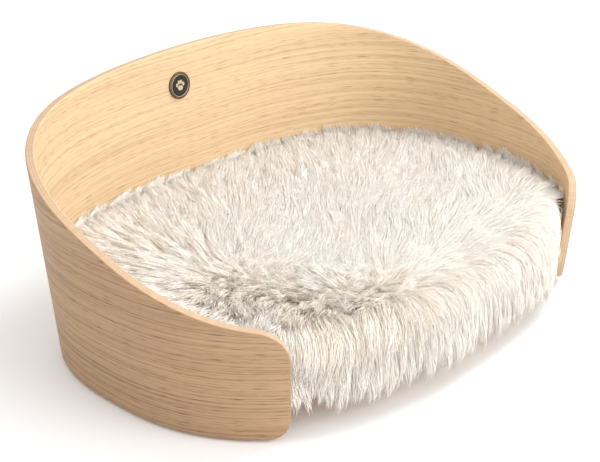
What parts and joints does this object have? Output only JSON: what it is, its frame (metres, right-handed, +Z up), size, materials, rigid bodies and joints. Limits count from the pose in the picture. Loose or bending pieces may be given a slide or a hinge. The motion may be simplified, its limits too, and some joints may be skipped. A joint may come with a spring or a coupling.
{
  "type": "pet cushion bed",
  "caption": "Low pet bed: a leaning bent plywood wall in oak veneer, open at the front, round a zipped foam cushion with a long-haired sheepskin over it.",
  "frame": {"origin": "centre of the bounding box on the floor, under the felt glides", "axes": "+X across the bed to its right as seen from the open front, +Y from the open front to the back, +Z up"},
  "size_m": [0.601, 0.4456, 0.2409],
  "materials": {
    "oak_veneer": "satin",
    "plywood_core": "matte",
    "plywood_board": "matte",
    "beech": "matte",
    "felt": "matte",
    "screw_steel": "satin",
    "badge_bronze": "satin",
    "badge_enamel": "gloss",
    "adhesive_tape": "matte",
    "foam": "matte",
    "cover_cotton": "matte",
    "piping_cotton": "matte",
    "zip_tape": "matte",
    "zip_nylon": "matte",
    "zip_metal": "satin",
    "hide": "matte",
    "wool": "matte"
  },
  "bodies": {
    "shell": {"badge_adhesive": "adhesive_tape", "badge_enamel": "badge_enamel", "badge_paw": "badge_bronze", "badge_plate": "badge_bronze", "base_board": "plywood_board", "block_screws": "screw_steel", "corner_block_1": "beech", "corner_block_2": "beech", "corner_block_3": "beech", "corner_block_4": "beech", "corner_block_5": "beech", "corner_block_6": "beech", "felt_glide_1": "felt", "felt_glide_2": "felt", "felt_glide_3": "felt", "felt_glide_4": "felt", "felt_glide_5": "felt", "felt_glide_6": "felt", "wall_core": "plywood_core", "wall_inner_veneer": "oak_veneer", "wall_outer_veneer": "oak_veneer"},
    "cushion": {"cover_back_underside": "cover_cotton", "cover_front_underside": "cover_cotton", "cover_side_band": "cover_cotton", "cover_top_panel": "cover_cotton", "foam_core": "foam", "piping_bottom": "piping_cotton", "piping_top": "piping_cotton", "zip_back_tape": "zip_tape", "zip_back_teeth": "zip_nylon", "zip_end_stops": "zip_metal", "zip_front_tape": "zip_tape", "zip_front_teeth": "zip_nylon"},
    "zip_slider": {"zip_slider": "zip_metal"},
    "sheepskin": {"sheepskin_hide": "hide", "sheepskin_wool": "wool"}
  },
  "joints": [
    {"name": "cushion_lift", "type": "slide", "parent": "shell", "child": "cushion", "axis": [0, 0, 1], "range_m": [0, 0.3]},
    {"name": "sheepskin_lift", "type": "slide", "parent": "cushion", "child": "sheepskin", "axis": [0, 0, 1], "range_m": [0, 0.3]},
    {"name": "zip_travel", "type": "slide", "parent": "cushion", "child": "zip_slider", "axis": [1, 0, 0], "range_m": [0, 0.356]}
  ]
}
